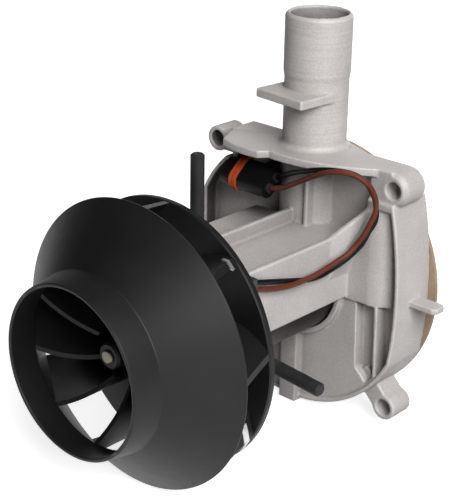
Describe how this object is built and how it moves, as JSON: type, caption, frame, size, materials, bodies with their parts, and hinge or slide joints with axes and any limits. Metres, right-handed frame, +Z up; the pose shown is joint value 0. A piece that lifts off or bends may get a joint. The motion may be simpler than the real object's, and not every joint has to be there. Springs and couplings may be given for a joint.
{
  "type": "parking heater blower",
  "caption": "Heater blower: cast housing with intake pipe and bolt ears, motor on an arm, black mixed-flow fan, plug with two leads and rubber buffer rods.",
  "frame": {"origin": "on the shaft axis at the rear gasket face", "axes": "+Y out of the gasket face, -Y towards the fan inlet, +Z up along the intake pipe, +X to the side with the key"},
  "size_m": [0.1137, 0.1375, 0.1552],
  "materials": {
    "cast_aluminium": "satin cast",
    "gasket": "matte fibre",
    "dark_steel": "satin",
    "cap_plastic": "matte",
    "zinc_cap": "satin",
    "steel": "bright",
    "magnet": "matte",
    "carbon": "matte",
    "bronze": "satin",
    "lamination": "satin",
    "copper": "bright",
    "buffer_rubber": "matte",
    "plug_plastic": "matte",
    "seal_rubber": "satin",
    "way_seal": "matte",
    "black_lead": "satin",
    "brown_lead": "satin",
    "fan_plastic": "satin",
    "wheel_plastic": "matte"
  },
  "bodies": {
    "housing": {"blower_housing": "cast_aluminium", "channel_cover": "cast_aluminium", "flange_gasket": "gasket", "motor_can": "dark_steel", "motor_front_cap": "cap_plastic", "motor_rear_cap": "zinc_cap", "cover_screws": "steel", "motor_screws": "steel", "brush_springs": "steel", "motor_magnets": "magnet", "motor_brushes": "carbon", "front_bearing": "bronze", "rear_bearing": "bronze", "connector_terminals": "copper", "buffer_rod_top": "buffer_rubber", "buffer_rod_side": "buffer_rubber", "connector_body": "plug_plastic", "connector_seal": "seal_rubber", "wire_seals": "way_seal", "wire_black": "black_lead", "wire_brown": "brown_lead"},
    "rotor": {"motor_shaft": "steel", "armature_core": "lamination", "armature_winding": "copper", "commutator": "copper", "fan_wheel": "fan_plastic", "fan_shroud": "fan_plastic", "balance_clips": "steel", "combustion_wheel": "wheel_plastic"}
  },
  "joints": [
    {"name": "rotor_spin", "type": "hinge", "parent": "housing", "child": "rotor", "pos_m": [0, 0, 0], "axis": [0, 1, 0], "continuous": true}
  ]
}
